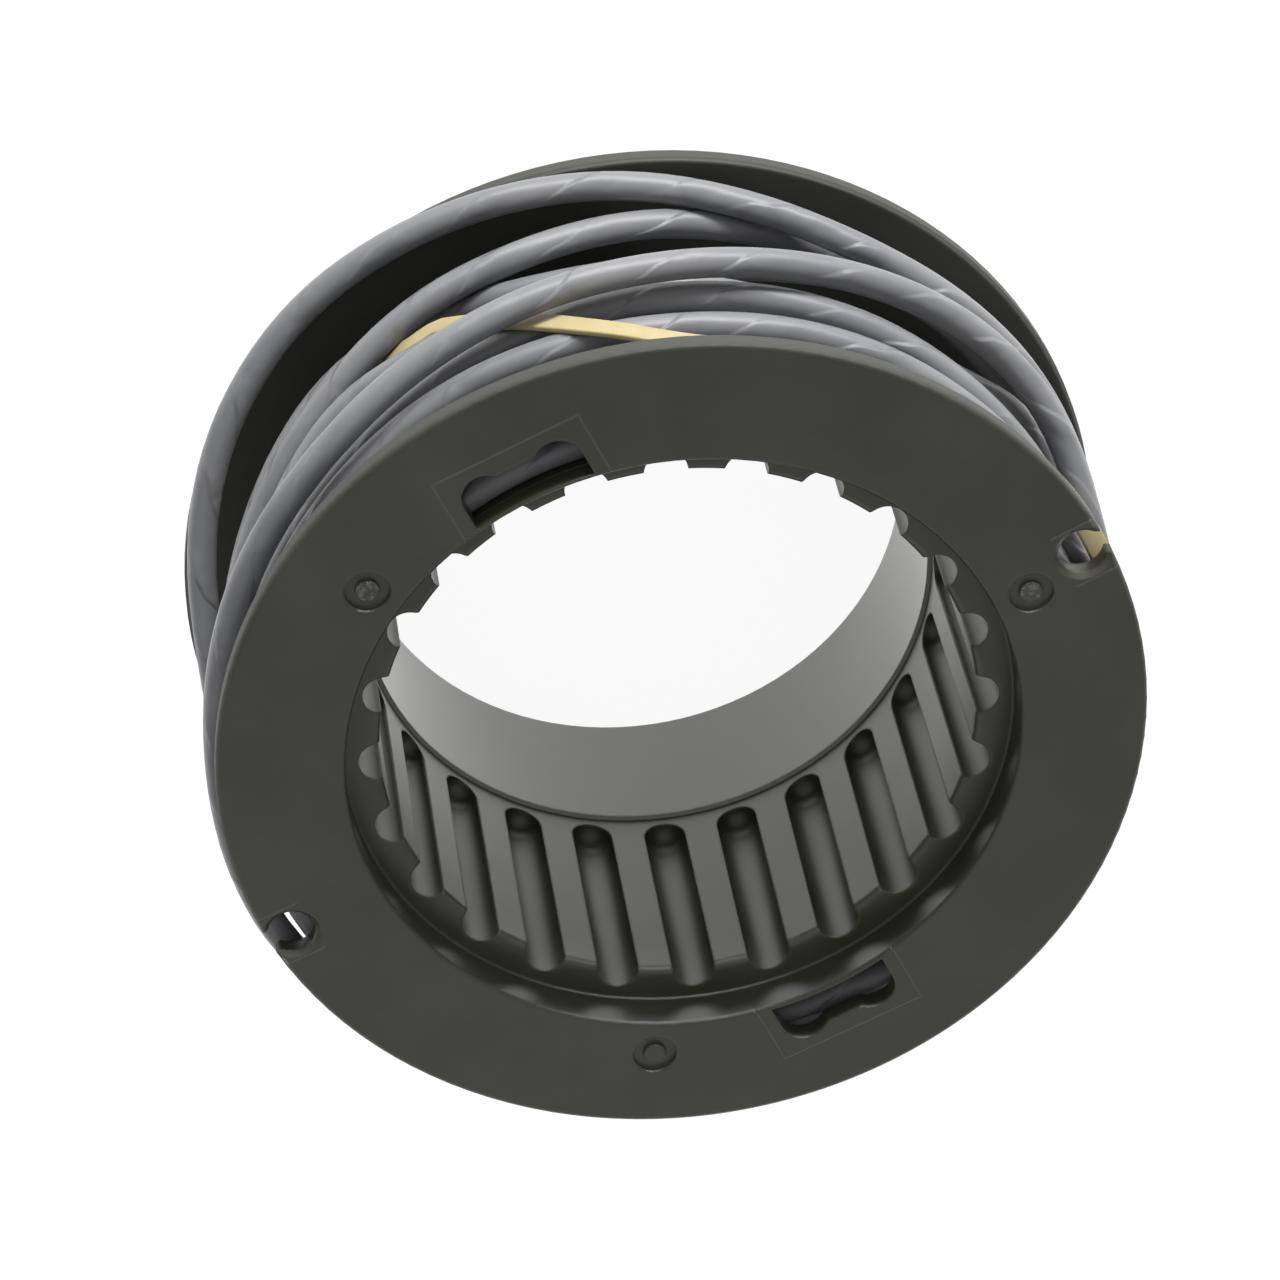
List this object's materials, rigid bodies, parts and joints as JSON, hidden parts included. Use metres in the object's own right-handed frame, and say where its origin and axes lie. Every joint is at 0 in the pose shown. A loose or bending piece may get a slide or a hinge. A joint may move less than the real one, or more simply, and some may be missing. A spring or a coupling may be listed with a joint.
{
  "type": "trimmer line spool",
  "caption": "Moulded spool for a garden trimmer's head, with a grooved drive bore, two flanges and a slotted front, wound with cutting line that a flat band holds.",
  "frame": {"origin": "on the bore's axis at the neck's end face, which the spool stands on", "axes": "+Z along the bore, from the neck's end to the front flange with the grooved mouth; +X and +Y square to it"},
  "size_m": [0.0636, 0.0636, 0.032],
  "materials": {
    "spool_plastic": "moulded black nylon with a satin sheen",
    "line_nylon": "smooth dark grey monofilament with creases from its twist",
    "band_rubber": "flat tan rubber"
  },
  "bodies": {
    "root": {"spool": "spool_plastic", "trimmer_line": "line_nylon", "retaining_band": "band_rubber"}
  },
  "joints": []
}
